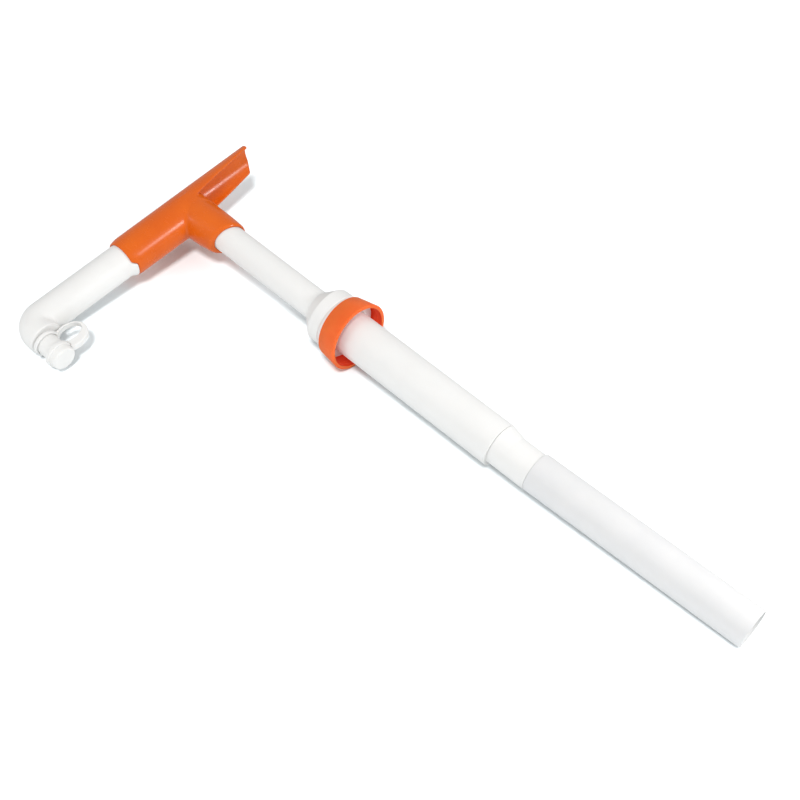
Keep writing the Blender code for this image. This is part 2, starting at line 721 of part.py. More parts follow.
def stand_on_origin(root):
    """Move the whole pump so the world origin is the middle of its footprint."""
    depsgraph = bpy.context.evaluated_depsgraph_get()
    depsgraph.update()
    lowest = Vector((math.inf, math.inf, math.inf))
    highest = -lowest
    for item in bpy.data.objects:
        if item.type != "MESH" or item.hide_render:
            continue
        evaluated = item.evaluated_get(depsgraph)
        for vertex in evaluated.data.vertices:
            point = item.matrix_world @ vertex.co
            lowest = Vector(map(min, lowest, point))
            highest = Vector(map(max, highest, point))
    middle = 0.5 * (lowest + highest)
    root.location = (-middle.x, -middle.y, -lowest.z)


def main():
    clear_scene()
    mats = {
        "orange": material("orange_handle", ORANGE, 0.32),
        "collar": material("orange_collar", COLLAR_ORANGE, 0.45),
        "white": material("white_plastic", WHITE, 0.38),
        "tube": material("tube_plastic", COOL_WHITE, 0.50),
        "plug": material("plug_plastic", WHITE, 0.45),
        "ball": material("ball_plastic", COOL_WHITE, 0.30),
        "seal": material("seal_rubber", RUBBER_BLACK, 0.60),
        "gasket": material("gasket_rubber", NITRILE_GREY, 0.70),
    }

    root = new_empty("pump_frame")
    stroke = new_empty("pump_stroke_axis", parent=root)
    handle = new_empty("handle_swivel_axis", parent=stroke)
    nozzle = new_empty("plug_pull_axis", (0.0, NOZZLE_AXIS_Y, 0.0), parent=handle)
    piston_ball = new_empty("piston_valve_axis", parent=handle)
    foot_ball = new_empty("foot_valve_axis", parent=root)
    collar = new_empty("collar_axis", COLLAR_MOUTH_CENTRE, (0.0, -COLLAR_TILT, 0.0), root)
    tilted = new_empty("suction_tube_axis", (TUBE_PIVOT_X, 0.0, 0.0), (0.0, 0.0, TUBE_TILT), root)

    build_tee(handle, mats["orange"])
    build_spout(handle, mats["white"])
    spout_ring = turned_mesh("spout_o_ring", ring_outline(-80.5 * MM, 20.45 * MM, 0.85 * MM), SMALL_STEPS)
    as_part(add_object("spout_o_ring", spout_ring, handle, rotation=ALONG_Y), mats["seal"])
    turned_part("rod_o_ring", ring_outline(
        41.5 * MM, 18.5 * MM, 1.3 * MM), handle, mats["seal"], SMALL_STEPS)
    turned_part("piston_rod", tube_outline(
        ROD_SOCKET_FLOOR + GAP, ROD_END_X, ROD_RADIUS, ROD_BORE), handle, mats["white"])
    build_strap(handle, mats["plug"])
    build_plug(nozzle, mats["plug"])
    build_piston(handle, stroke, piston_ball, mats)
    build_head(root, mats)
    build_collar(collar, mats["collar"])
    build_foot(root, tilted, foot_ball, mats)
    turned_part("suction_tube", tube_outline(
        TUBE_MOUTH, TUBE_END, TUBE_RADIUS, TUBE_BORE), tilted, mats["tube"])

    stand_on_origin(root)


main()
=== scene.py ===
"""Looks for the hand lift pump: fine meshes, moulded plastic materials, studio.

Lengths are in millimetres in the pump's own frame: the origin is where the pump
axis crosses the T-handle's axis, +X runs towards the suction tube's open end, +Y
towards the grip's tip and +Z up.  to_world() turns them into metres in the frame
of the CAD part.
"""

import json
import math

import bpy
import numpy as np
from mathutils import Euler, Matrix, Vector


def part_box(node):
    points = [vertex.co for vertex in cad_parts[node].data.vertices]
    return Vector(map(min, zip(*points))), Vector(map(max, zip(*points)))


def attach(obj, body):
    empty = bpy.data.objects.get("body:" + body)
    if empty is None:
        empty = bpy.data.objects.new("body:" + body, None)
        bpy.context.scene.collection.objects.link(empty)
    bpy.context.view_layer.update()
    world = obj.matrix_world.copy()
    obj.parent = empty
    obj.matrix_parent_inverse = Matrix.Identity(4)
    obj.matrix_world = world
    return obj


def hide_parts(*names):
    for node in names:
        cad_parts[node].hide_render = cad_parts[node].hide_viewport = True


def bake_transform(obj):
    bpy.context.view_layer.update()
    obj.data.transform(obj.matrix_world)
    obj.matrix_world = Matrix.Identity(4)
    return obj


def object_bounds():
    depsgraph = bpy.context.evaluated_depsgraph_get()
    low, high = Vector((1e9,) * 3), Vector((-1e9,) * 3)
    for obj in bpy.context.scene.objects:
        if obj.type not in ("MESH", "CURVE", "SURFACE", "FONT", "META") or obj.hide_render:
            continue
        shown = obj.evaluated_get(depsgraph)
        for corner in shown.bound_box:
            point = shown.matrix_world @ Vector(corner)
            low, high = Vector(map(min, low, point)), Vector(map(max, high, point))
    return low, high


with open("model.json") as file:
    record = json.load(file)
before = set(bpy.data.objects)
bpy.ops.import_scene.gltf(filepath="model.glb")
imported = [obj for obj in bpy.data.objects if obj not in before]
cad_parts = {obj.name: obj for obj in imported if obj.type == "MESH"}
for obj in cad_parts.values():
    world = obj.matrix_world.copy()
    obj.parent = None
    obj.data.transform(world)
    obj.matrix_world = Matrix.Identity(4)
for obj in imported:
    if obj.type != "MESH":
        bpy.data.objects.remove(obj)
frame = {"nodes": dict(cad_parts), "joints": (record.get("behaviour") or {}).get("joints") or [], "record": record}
cad_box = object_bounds()

MM = 0.001
JOINTS = {joint["name"]: joint for joint in frame["joints"]}
ORIGIN = Vector(JOINTS["handle_swivel"]["pos_m"])
FINE_STEPS = 160
PLUG_STEPS = 96
SHARP_ANGLE = 40.0


# ---------------------------------------------------------------- measures

def node_box(node):
    """Lowest and highest corner of a CAD node, in millimetres in the pump's frame."""
    low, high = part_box(node)
    return (low - ORIGIN) / MM, (high - ORIGIN) / MM


def half_height(node):
    low, high = node_box(node)
    return 0.5 * (high.z - low.z)


def reach_along_x(node):
    low, high = node_box(node)
    return low.x, high.x


def to_world(point):
    return ORIGIN + Vector(point) * MM


ROD_R = half_height("piston_rod")
ROD_BORE = 14.0
ROD_X = reach_along_x("piston_rod")
BARREL_R = half_height("pump_barrel")
BARREL_BORE = 22.1
BARREL_X = reach_along_x("pump_barrel")
NOZZLE_Y = node_box("spout_plug")[0].y + half_height("spout_plug")


# ---------------------------------------------------------------- meshes

def new_piece(name, verts, faces, sharp_angle=None):
    """Make a smooth-shaded object from points in millimetres in the pump's frame."""
    mesh = bpy.data.meshes.new(name)
    world = np.asarray(verts, float) * MM + np.array(ORIGIN)
    mesh.from_pydata(world.tolist(), [], faces)
    mesh.validate()
    mesh.update()
    mesh.shade_smooth()
    if sharp_angle is not None:
        mesh.set_sharp_from_angle(angle=math.radians(sharp_angle))
    item = bpy.data.objects.new(name, mesh)
    bpy.context.scene.collection.objects.link(item)
    return item


def rounded(outline, points=5):
    """Round the corners of a closed outline of (x, radius, fillet) points."""
    result = []
    count = len(outline)
    for i, (x, r, fillet) in enumerate(outline):
        corner = Vector((x, r))
        before = Vector(outline[i - 1][:2]) - corner
        after = Vector(outline[(i + 1) % count][:2]) - corner
        if fillet <= 0.0:
            result.append((x, r))
            continue
        half_turn = 0.5 * before.angle(after)
        reach = min(fillet / math.tan(half_turn), 0.49 * before.length, 0.49 * after.length)
        start = corner + before.normalized() * reach
        end = corner + after.normalized() * reach
        for k in range(points + 1):
            t = k / points
            spot = start * (1 - t) ** 2 + corner * 2 * t * (1 - t) + end * t**2
            result.append((spot.x, spot.y))
    return result


def turn_angles(steps):
    """A column of angles, evenly spread over a full turn."""
    return (np.arange(steps) * math.tau / steps)[:, None]


def turned_rows(name, x, radius, axis=None):
    """Join rows of outline points, one row for each angle about the X axis.

    Each row is closed and runs outwards at its low-X end.  The axis is a frame that
    the whole is placed in.
    """
    steps, count = x.shape
    angles = turn_angles(steps)
    verts = np.stack([x, radius * np.cos(angles), radius * np.sin(angles)], -1)
    verts = verts.reshape(-1, 3)
    if axis is not None:
        verts = verts @ np.array(axis.to_3x3()).T + np.array(axis.translation)
    faces = []
    for s in range(steps):
        here = s * count
        there = (s + 1) % steps * count
        for i in range(count):
            j = (i + 1) % count
            faces.append((there + i, there + j, here + j, here + i))
    return new_piece(name, verts, faces, SHARP_ANGLE)


def turned(name, outline, steps=FINE_STEPS, axis=None):
    """Turn a closed (x, radius) outline about the X axis."""
    profile = np.array(outline, float)
    x = np.repeat(profile[:, 0][None], steps, 0)
    radius = np.repeat(profile[:, 1][None], steps, 0)
    return turned_rows(name, x, radius, axis)


CUBE_CORNERS = [(a, b, c) for a in (0, 1) for b in (0, 1) for c in (0, 1)]


def net_points(value, inside):
    """One point in each grid cell that the surface crosses, and the points' numbers."""
    cells = tuple(n - 1 for n in value.shape)
    total = np.zeros(cells + (3,), np.float32)
    hits = np.zeros(cells, np.int8)
    for a in CUBE_CORNERS:
        for along in range(3):
            if a[along]:
                continue
            b = tuple(v + (1 if i == along else 0) for i, v in enumerate(a))
            cut_a = tuple(slice(v, v + n) for v, n in zip(a, cells))
            cut_b = tuple(slice(v, v + n) for v, n in zip(b, cells))
            crossed = inside[cut_a] != inside[cut_b]
            va = value[cut_a][crossed]
            vb = value[cut_b][crossed]
            spot = np.tile(np.array(a, np.float32), (len(va), 1))
            spot[:, along] += va / (va - vb)
            total[crossed] += spot
            hits[crossed] += 1
    used = hits > 0
    number = np.full(cells, -1, np.int64)
    number[used] = np.arange(int(used.sum()))
    points = np.argwhere(used).astype(float) + total[used] / hits[used][:, None]
    return points, number


def net_faces(inside, number):
    """A quad around each grid edge that the surface crosses."""
    faces = []
    for along in range(3):
        u, v = [d for d in range(3) if d != along]
        first = [slice(1, n - 1) for n in inside.shape]
        second = list(first)
        first[along] = slice(0, inside.shape[along] - 1)
        second[along] = slice(1, inside.shape[along])
        here = inside[tuple(first)]
        crossed = here != inside[tuple(second)]
        base = np.argwhere(crossed) + [0 if d == along else 1 for d in range(3)]
        ring = []
        for du, dv in ((0, 0), (-1, 0), (-1, -1), (0, -1)):
            cell = base.copy()
            cell[:, u] += du
            cell[:, v] += dv
            ring.append(number[tuple(cell.T)])
        quads = np.stack(ring, 1)
        flip = here[crossed] if along == 1 else ~here[crossed]
        quads[flip] = quads[flip][:, ::-1]
        faces.append(quads)
    return np.concatenate(faces)


def settled(field, verts, step, rounds=4):
    """Points moved onto the surface, along the field's slope."""
    probe = 0.02 * step
    least_slope = 0.05
    for _ in range(rounds):
        x, y, z = verts.T
        here = field(x, y, z)
        slope = np.stack([
            field(x + probe, y, z) - field(x - probe, y, z),
            field(x, y + probe, z) - field(x, y - probe, z),
            field(x, y, z + probe) - field(x, y, z - probe),
        ], 1) / (2 * probe)
        size = np.maximum((slope**2).sum(1), least_slope)
        move = slope * (here / size)[:, None]
        length = np.linalg.norm(move, axis=1, keepdims=True)
        verts = verts - move * np.minimum(1.0, 0.5 * step / np.maximum(length, 1e-9))
    return verts


def surface_net(name, field, low, high, step):
    """Mesh the surface where field(x, y, z) is zero, negative being inside."""
    counts = [int(math.ceil((h - l) / step)) + 1 for l, h in zip(low, high)]
    lines = [l + step * np.arange(n) for l, n in zip(low, counts)]
    x, y, z = np.meshgrid(*lines, indexing="ij", sparse=True)
    value = field(x, y, z).astype(np.float32)
    inside = value < 0
    points, number = net_points(value, inside)
    verts = settled(field, np.array(low) + step * points, step)
    return new_piece(name, verts, net_faces(inside, number).tolist())


# ---------------------------------------------------------------- fields

def soft_min(a, b, blend):
    h = np.maximum(blend - np.abs(a - b), 0.0) / blend
    return np.minimum(a, b) - 0.25 * blend * h * h


def soft_max(a, b, blend):
    return -soft_min(-a, -b, blend)


def cut(body, hole, blend):
    return soft_max(body, -hole, blend)


def plane(offset, *slopes):
    """An offset that grows by 1 and by the slopes along its axes, as a distance."""
    return offset / math.hypot(1.0, *slopes)


KEY_REACH = 20.0


def key_field(x, y, z, radii, ends, low, highs):
    """A curved block about the Y axis between two angles, its upper side slanting.

    The radii are the inner one, then the outer ones at the two ends.
    """
    inner, outer_first, outer_last = radii
    reach = np.hypot(x, z)
    angle = np.arctan2(z, x)
    t = np.clip((y - ends[0]) / (ends[1] - ends[0]), 0.0, 1.0)
    outer = outer_first + (outer_last - outer_first) * t
    high = highs[0] + (highs[1] - highs[0]) * t
    sides = np.maximum(low - angle, angle - high) * KEY_REACH
    caps = np.maximum(ends[0] - y, y - ends[1])
    return np.maximum(np.maximum(sides, caps), np.maximum(inner - reach, reach - outer))


# The T-handle: a bar along Y, open as a half-pipe on its grip side, and a stem
BAR_R = 23.6
BAR_TAPER = 0.0062
BAR_BORE = 16.0
BAR_BORE_END_Y = 10.0
TEE_END_Y = -100.6
TEE_END_R = 21.3
TEE_END_SLANT = 0.34
TEE_TIP_Y = node_box("handle_tee")[1].y
SPOUT_SOCKET_R = 19.5
SPOUT_SOCKET_END_Y = -62.0
ROD_SOCKET_R = ROD_R + 0.3
ROD_SOCKET_X = 22.0

TROUGH_R = 21.0
TROUGH_START_Y = 6.0
TROUGH_EDGE_X = 5.0
TROUGH_SLANT = 0.149
TIP_Y = 90.2
TIP_SLANT = 0.65
UPPER_TIP_Y = 103.8
UPPER_TIP_SLANT = 0.36

STEM_X = 24.0
STEM_LENGTH = 35.5
STEM_R = 23.6
STEM_NARROWING = 2.4
STEM_FLARE = 0.0006
STEM_SIDESTEP = 3.1
STEM_RETURN = 2.2
STEM_BACK_X = -5.0
TEE_MOUTH_X = 63.1
TEE_MOUTH_SLANT = 0.30

NOTCH_DEPTH = 5.5
NOTCH_LOW = math.radians(-75.0)
NOTCH_HIGH_MOUTH = math.radians(34.0)
NOTCH_HIGH_FLOOR = math.radians(18.0)
KEY_GAP = math.radians(0.9)
KEY_INNER_R = 18.0


def stem_field(x, y, z):
    """The stem's full-length body, which narrows and swings back to the pump axis."""
    t = np.clip((x - STEM_X) / STEM_LENGTH, 0.0, 1.3)
    behind = np.minimum(x - STEM_X, 0.0)
    radius = STEM_R - STEM_NARROWING * t**2 - STEM_FLARE * behind**2
    middle = -STEM_SIDESTEP + STEM_RETURN * t**1.3
    return np.hypot(y - middle, z) - radius


def bar_field(y, reach):
    bar = reach - (BAR_R + BAR_TAPER * y)
    chamfer = plane(reach - TEE_END_R - TEE_END_SLANT * (y - TEE_END_Y), TEE_END_SLANT)
    return soft_max(soft_max(bar, chamfer, 2.0), TEE_END_Y - y, 0.8)


def trough_field(x, y, reach, root):
    """What the half-pipe arm leaves open, up to the stem's root."""
    opening = plane(TROUGH_EDGE_X - TROUGH_SLANT * y - x, TROUGH_SLANT)
    trough = soft_min(reach - TROUGH_R, opening, 0.4)
    return np.maximum(soft_max(trough, -root, 2.0), TROUGH_START_Y - y)


def tip_field(x, y, z):
    """The slanting end of the half-pipe arm, cut back on its upper lip."""
    slant = plane(y - TIP_Y + TIP_SLANT * x, TIP_SLANT)
    upper_lip = plane(y - UPPER_TIP_Y + UPPER_TIP_SLANT * z, UPPER_TIP_SLANT)
    return soft_max(soft_max(slant, y - TEE_TIP_Y, 1.0), upper_lip, 1.0)


def tee_hollow(x, y, z, reach):
    """The sockets of spout and rod and the passage that joins them, as two fields."""
    across = np.hypot(y, z)
    spout_socket = np.maximum(reach - SPOUT_SOCKET_R, y - SPOUT_SOCKET_END_Y)
    bar_bore = np.maximum(reach - BAR_BORE, y - BAR_BORE_END_Y)
    rod_socket = np.maximum(across - ROD_SOCKET_R, ROD_SOCKET_X - x)
    stem_bore = np.maximum(across - ROD_BORE, -x)
    return np.minimum(spout_socket, bar_bore), np.minimum(rod_socket, stem_bore)


def tee_field(x, y, z):
    reach = np.hypot(x, z)
    root = stem_field(x, y, z)
    bar = cut(bar_field(y, reach), trough_field(x, y, reach, root), 1.2)
    bar = soft_max(bar, tip_field(x, y, z), 1.0)

    mouth = plane(x - TEE_MOUTH_X - TEE_MOUTH_SLANT * y, TEE_MOUTH_SLANT)
    stem = np.maximum(soft_max(root, mouth, 4.5), STEM_BACK_X - x)
    body = soft_min(bar, stem, 3.0)
    for hollow in tee_hollow(x, y, z, reach):
        body = cut(body, hollow, 0.8)
    notch = key_field(
        x, y, z, (KEY_INNER_R, 27.0, 27.0), (TEE_END_Y - 1.0, TEE_END_Y + NOTCH_DEPTH),
        NOTCH_LOW, (NOTCH_HIGH_MOUTH, NOTCH_HIGH_FLOOR),
    )
    return cut(body, notch, 0.8)


# The spout: a leg along Y, a tight bend, an outlet along X and a smaller nozzle
BEND_X = 14.0
BEND_Y = -210.2
BEND_LAP = 0.8
OUTLET_Y = -224.2
OUTLET_X = 24.1
SPOUT_R = 19.2
SPOUT_BORE = 16.5
SPOUT_END_Y = -64.0
SPOUT_BORE_END_Y = -60.0
OUTLET_BORE_X = 21.5
NOZZLE_R = 12.2
NOZZLE_BORE = 9.6
NOZZLE_TIP_X = 45.5
LUG_R_MOUTH = 19.3
LUG_R = 22.4
LUG_GAP = 0.3


def bent_tube(x, y, z, radius, start_y, end_x, crease, rim):
    leg = np.maximum(np.hypot(x, z) - radius, BEND_Y - BEND_LAP - y)
    leg = soft_max(leg, y - start_y, rim)
    outlet = np.maximum(np.hypot(y - OUTLET_Y, z) - radius, BEND_X - BEND_LAP - x)
    outlet = soft_max(outlet, x - end_x, rim)
    around = np.hypot(x - BEND_X, y - BEND_Y)
    bend = np.hypot(around - BEND_X, z) - radius
    bend = np.maximum(np.maximum(bend, x - BEND_X), y - BEND_Y)
    return np.minimum(bend, soft_min(leg, outlet, crease))


def spout_field(x, y, z):
    body = bent_tube(x, y, z, SPOUT_R, SPOUT_END_Y, OUTLET_X, 3.0, 2.2)
    across = np.hypot(y - NOZZLE_Y, z)
    nozzle = soft_max(across - NOZZLE_R, x - NOZZLE_TIP_X, 1.0)
    nozzle = np.maximum(nozzle, 20.0 - x)
    body = soft_min(body, nozzle, 2.5)
    lug = key_field(
        x, y, z, (KEY_INNER_R, LUG_R_MOUTH, LUG_R),
        (TEE_END_Y - 2.0, TEE_END_Y + NOTCH_DEPTH - LUG_GAP),
        NOTCH_LOW + KEY_GAP, (NOTCH_HIGH_MOUTH - KEY_GAP, NOTCH_HIGH_FLOOR - KEY_GAP),
    )
    body = soft_min(body, lug, 0.8)
    bore = bent_tube(x, y, z, SPOUT_BORE, SPOUT_BORE_END_Y, OUTLET_BORE_X, 2.0, 2.0)
    body = cut(body, bore, 0.6)
    return cut(body, np.maximum(across - NOZZLE_BORE, 16.0 - x), 1.0)


# The plug's strap: a ring on the nozzle and a loop with an oval hole
LOOP_OUTER = (40.0, -205.3, 15.4, 20.3)
LOOP_HOLE = (36.2, -203.4, 9.4, 14.6)
LOOP_HALF_HEIGHT = 4.0
LOOP_SIDE = 13.2
RING_X = 28.0
RING_HALF_WIDTH = 2.0
RING_R = 15.0
RING_BORE = 12.5
PLUG_FLANGE_R = 15.4
PLUG_FLANGE_END_X = 51.0
CLEAR_OF_FLANGE_R = PLUG_FLANGE_R + 0.15
CLEAR_OF_HEAD_R = 14.1


def ellipse_field(x, y, centre_x, centre_y, a, b):
    dx = x - centre_x
    dy = y - centre_y
    near = np.sqrt((dx / a) ** 2 + (dy / b) ** 2 + 1e-9)
    slope = np.sqrt((dx / a**2) ** 2 + (dy / b**2) ** 2 + 1e-9)
    return near * (near - 1.0) / slope


def strap_field(x, y, z):
    across = np.hypot(y - NOZZLE_Y, z)
    loop = cut(ellipse_field(x, y, *LOOP_OUTER), ellipse_field(x, y, *LOOP_HOLE), 1.2)
    loop = soft_max(loop, np.abs(z) - LOOP_HALF_HEIGHT, 1.6)
    loop = soft_max(loop, NOZZLE_Y + LOOP_SIDE - y, 0.5)
    plug_reach = np.where(x < PLUG_FLANGE_END_X, CLEAR_OF_FLANGE_R, CLEAR_OF_HEAD_R)
    loop = cut(loop, np.maximum(across - plug_reach, 30.0 - x), 0.5)
    ring = soft_max(np.abs(x - RING_X) - RING_HALF_WIDTH, across - RING_R, 1.0)
    return cut(soft_min(loop, ring, 2.0), across - RING_BORE, 0.6)


# The neck's shoulder: a cone that stands off the pump axis at the barrel's end
SHOULDER_X = 455.4
SHOULDER_LENGTH = 18.6
SHOULDER_END_X = 474.5
SHOULDER_R = 22.0
SHOULDER_NARROWING = 2.1
SHOULDER_BORE = 18.5
SHOULDER_OFFSET = 1.9
SHOULDER_WAY = (0.898, 0.441)


def shoulder_field(x, y, z):
    """The neck's shoulder, flush with the barrel on one side and set back on the other."""
    t = np.clip((x - SHOULDER_X) / SHOULDER_LENGTH, 0.0, 1.0)
    offset = SHOULDER_OFFSET * (1.0 - t)
    reach = np.hypot(y - SHOULDER_WAY[0] * offset, z - SHOULDER_WAY[1] * offset)
    cone = reach - SHOULDER_R + SHOULDER_NARROWING * t
    body = soft_max(cone, BARREL_X[1] + 0.15 - x, 0.4)
    return np.maximum(np.maximum(body, x - SHOULDER_END_X), SHOULDER_BORE - reach)


# ---------------------------------------------------------------- materials

def noise(tree, vector, scale, detail, roughness):
    node = tree.nodes.new("ShaderNodeTexNoise")
    node.inputs["Scale"].default_value = scale
    node.inputs["Detail"].default_value = detail
    node.inputs["Roughness"].default_value = roughness
    tree.links.new(vector, node.inputs["Vector"])
    return node.outputs["Fac"]


def cloudy_colour(tree, place, shade, colour):
    """Two close colours that drift into each other."""
    ramp = tree.nodes.new("ShaderNodeValToRGB")
    ramp.color_ramp.elements[0].position = 0.35
    ramp.color_ramp.elements[0].color = (*shade, 1.0)
    ramp.color_ramp.elements[1].position = 0.65
    ramp.color_ramp.elements[1].color = (*colour, 1.0)
    tree.links.new(noise(tree, place, 28.0, 4.0, 0.6), ramp.inputs["Fac"])
    return ramp.outputs["Color"]


def uneven_gloss(tree, place, roughness):
    gloss = tree.nodes.new("ShaderNodeMapRange")
    gloss.inputs["From Min"].default_value = 0.3
    gloss.inputs["From Max"].default_value = 0.7
    gloss.inputs["To Min"].default_value = roughness - 0.05
    gloss.inputs["To Max"].default_value = roughness + 0.07
    tree.links.new(noise(tree, place, 140.0, 5.0, 0.7), gloss.inputs["Value"])
    return gloss.outputs["Result"]


def relief(tree, height, strength):
    bump = tree.nodes.new("ShaderNodeBump")
    bump.inputs["Strength"].default_value = strength
    bump.inputs["Distance"].default_value = 0.001
    tree.links.new(height, bump.inputs["Height"])
    return bump


def drawn_streaks(tree, place, strength, grain):
    """Fine lines along the X axis, on top of the grain."""
    stretch = tree.nodes.new("ShaderNodeMapping")
    stretch.inputs["Scale"].default_value = (0.08, 1.0, 1.0)
    tree.links.new(place, stretch.inputs["Vector"])
    lines = relief(tree, noise(tree, stretch.outputs["Vector"], 500.0, 3.0, 0.6), strength)
    tree.links.new(grain.outputs["Normal"], lines.inputs["Normal"])
    return lines


def plastic(name, colour, shade, roughness, grain=0.02, streaks=0.0, soft=0.0,
            specular=0.5, glow=(1.0, 0.9, 0.8)):
    """Moulded or drawn plastic: cloudy colour, uneven gloss, fine surface relief."""
    mat = bpy.data.materials.new(name)
    mat.use_nodes = True
    tree = mat.node_tree
    shader = tree.nodes["Principled BSDF"]
    shader.inputs["Specular IOR Level"].default_value = specular
    shader.inputs["Subsurface Weight"].default_value = soft
    shader.inputs["Subsurface Scale"].default_value = 0.004
    shader.inputs["Subsurface Radius"].default_value = glow
    place = tree.nodes.new("ShaderNodeTexCoord").outputs["Object"]
    tree.links.new(cloudy_colour(tree, place, shade, colour), shader.inputs["Base Color"])
    tree.links.new(uneven_gloss(tree, place, roughness), shader.inputs["Roughness"])
    surface = relief(tree, noise(tree, place, 650.0, 2.0, 0.5), grain)
    if streaks > 0.0:
        surface = drawn_streaks(tree, place, streaks, surface)
    tree.links.new(surface.outputs["Normal"], shader.inputs["Normal"])
    return mat


def painted_glow_plastic(name, colour, light, strength):
    """Plastic with a painted glow: its emission is painted light, standing in for the light it would bounce onto
    the parts nearby.
    """
    mat = plastic(name, colour, colour, 0.5, 0.08, specular=0.3)
    shader = mat.node_tree.nodes["Principled BSDF"]
    shader.inputs["Emission Color"].default_value = (*light, 1.0)
    shader.inputs["Emission Strength"].default_value = strength
    return mat


WHITE = (0.775, 0.77, 0.755)
WHITE_SHADE = (0.755, 0.75, 0.735)
COOL = (0.71, 0.706, 0.704)
COOL_SHADE = (0.685, 0.684, 0.686)
ORANGE = (0.675, 0.120, 0.0055)
ORANGE_SHADE = (0.635, 0.103, 0.0045)
COLLAR = (0.80, 0.145, 0.024)
COLLAR_SHADE = (0.74, 0.120, 0.018)
# Painted shade and painted light for the collar's bore: the collar's orange darkened for the shade inside it, and
# the colour of a glow that throws painted red light onto the barrel.
COLLAR_INSIDE_SHADE = (0.60, 0.060, 0.014)
COLLAR_PAINTED_GLOW = (1.0, 0.03, 0.01)
BLACK = (0.02, 0.02, 0.02)
BLACK_SHADE = (0.03, 0.03, 0.03)

materials = {
    "orange_handle": plastic("orange_handle", ORANGE, ORANGE_SHADE, 0.24, 0.002, specular=0.40),
    "orange_collar": plastic(
        "orange_collar", COLLAR, COLLAR_SHADE, 0.50, 0.08, soft=0.5, specular=0.3,
        glow=(1.5, 0.35, 0.12)),
    "white_plastic": plastic("white_plastic", WHITE, WHITE_SHADE, 0.42, 0.02, soft=0.08),
    "white_drawn": plastic("white_drawn", WHITE, WHITE_SHADE, 0.40, 0.01, 0.03, soft=0.08),
    "tube_plastic": plastic("tube_plastic", COOL, COOL_SHADE, 0.55, 0.03, 0.05, soft=0.1),
    "plug_plastic": plastic("plug_plastic", WHITE, WHITE_SHADE, 0.48, 0.04, soft=0.15),
    "ball_plastic": plastic("ball_plastic", WHITE, WHITE_SHADE, 0.25, 0.01),
    "seal_rubber": plastic("seal_rubber", BLACK, BLACK_SHADE, 0.6, 0.1),
    "gasket_rubber": plastic("gasket_rubber", WHITE, WHITE_SHADE, 0.65, 0.08),
    # The collar's bore: painted shade as a darker orange, and a painted glow.
    "collar_inside_shade_glow": painted_glow_plastic("collar_inside_shade_glow", COLLAR_INSIDE_SHADE, COLLAR_PAINTED_GLOW, 0.20),
}


def dress(item, material, body, slot, *nodes):
    """Give a piece its finish, the body it rides on and the CAD nodes it stands for."""
    item.data.materials.clear()
    item.data.materials.append(materials[material])
    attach(item, body)
    if nodes:
        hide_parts(*nodes)


# ---------------------------------------------------------------- pieces

def build_tee():
    tee = surface_net("tee_shell", tee_field, (-27.1, -103.1, -27.1), (73, 109, 27), 0.9)
    dress(tee, "orange_handle", "handle", "orange_handle", "handle_tee")


def build_spout():
    spout = surface_net(
        "spout_tube", spout_field, (-22.37, -246.37, -25.37), (48, -62, 25), 0.9)
    dress(spout, "white_plastic", "handle", "white_plastic", "spout_elbow")


def build_strap():
    strap = surface_net(
        "plug_tether", strap_field, (22, -245, -17), (60, -180, 17), 0.6)
    strap.data.materials.append(materials["plug_plastic"])
    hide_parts("plug_strap")
    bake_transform(strap)


def build_plug():
    shank_x = 35.0
    shank_r = 9.2
    flange_x = 45.8
    head_x = 50.9
    end_x = node_box("spout_plug")[1].x
    outline = rounded([
        (shank_x, 0.2, 0.0),
        (shank_x, shank_r, 1.0),
        (flange_x, shank_r, 0.2),
        (flange_x, PLUG_FLANGE_R, 0.9),
        (head_x - 0.4, PLUG_FLANGE_R, 1.2),
        (head_x, 13.9, 0.3),
        (end_x, 13.5, 2.6),
        (end_x, 0.2, 0.0),
    ])
    axis = Matrix.Translation((0.0, NOZZLE_Y, 0.0))
    plug = turned("plug_cap", outline, PLUG_STEPS, axis)
    dress(plug, "plug_plastic", "plug", "plug_plastic", "spout_plug")


def build_rod():
    rod = turned("rod_tube", rounded([
        (ROD_X[0], ROD_BORE, 0.3), (ROD_X[0], ROD_R, 0.5),
        (ROD_X[1], ROD_R, 0.5), (ROD_X[1], ROD_BORE, 0.3),
    ]))
    dress(rod, "white_drawn", "handle", "white_plastic", "piston_rod")


def build_head():
    """The conical head, with a groove for the collar and a flange that it pulls on."""
    rod_hole = 17.4
    cone_x = 201.5
    cone_end_x = 215.9
    bush_r = 21.0
    step_x = 219.0
    socket_r = 24.5
    groove_x = 230.5
    groove_r = 30.4
    flange_x = 240.5
    flange_end_x = 245.1
    flange_r = 33.2
    head = turned("head_shell", rounded([
        (cone_x, rod_hole, 0.3), (cone_x, rod_hole + 0.8, 0.8), (cone_end_x, 31.0, 2.5),
        (groove_x - 1.0, 31.5, 0.8), (groove_x, groove_r, 0.3), (flange_x, groove_r, 0.3),
        (flange_x, flange_r, 0.5), (flange_end_x, flange_r, 0.5),
        (flange_end_x, socket_r, 0.3), (step_x, socket_r, 0.0), (step_x, bush_r, 0.0),
        (208.5, bush_r, 0.0), (208.5, rod_hole, 0.0),
    ], 8))
    dress(head, "white_plastic", "barrel", "white_plastic", "head_cap")
    gasket_x = flange_end_x + 0.3
    gasket_r = 33.0
    gasket = turned("gasket_ring", rounded([
        (gasket_x, socket_r, 0.3), (gasket_x, gasket_r, 0.5),
        (gasket_x + 2.0, gasket_r, 0.5), (gasket_x + 2.0, socket_r, 0.3),
    ]))
    dress(gasket, "gasket_rubber", "barrel", "gasket_rubber", "neck_gasket")


def build_barrel():
    barrel = turned("barrel_tube", rounded([
        (BARREL_X[0], BARREL_BORE, 0.3), (BARREL_X[0], BARREL_R, 0.4),
        (BARREL_X[1], BARREL_R, 0.4), (BARREL_X[1], BARREL_BORE, 0.3),
    ]))
    dress(barrel, "white_drawn", "barrel", "white_plastic", "pump_barrel")


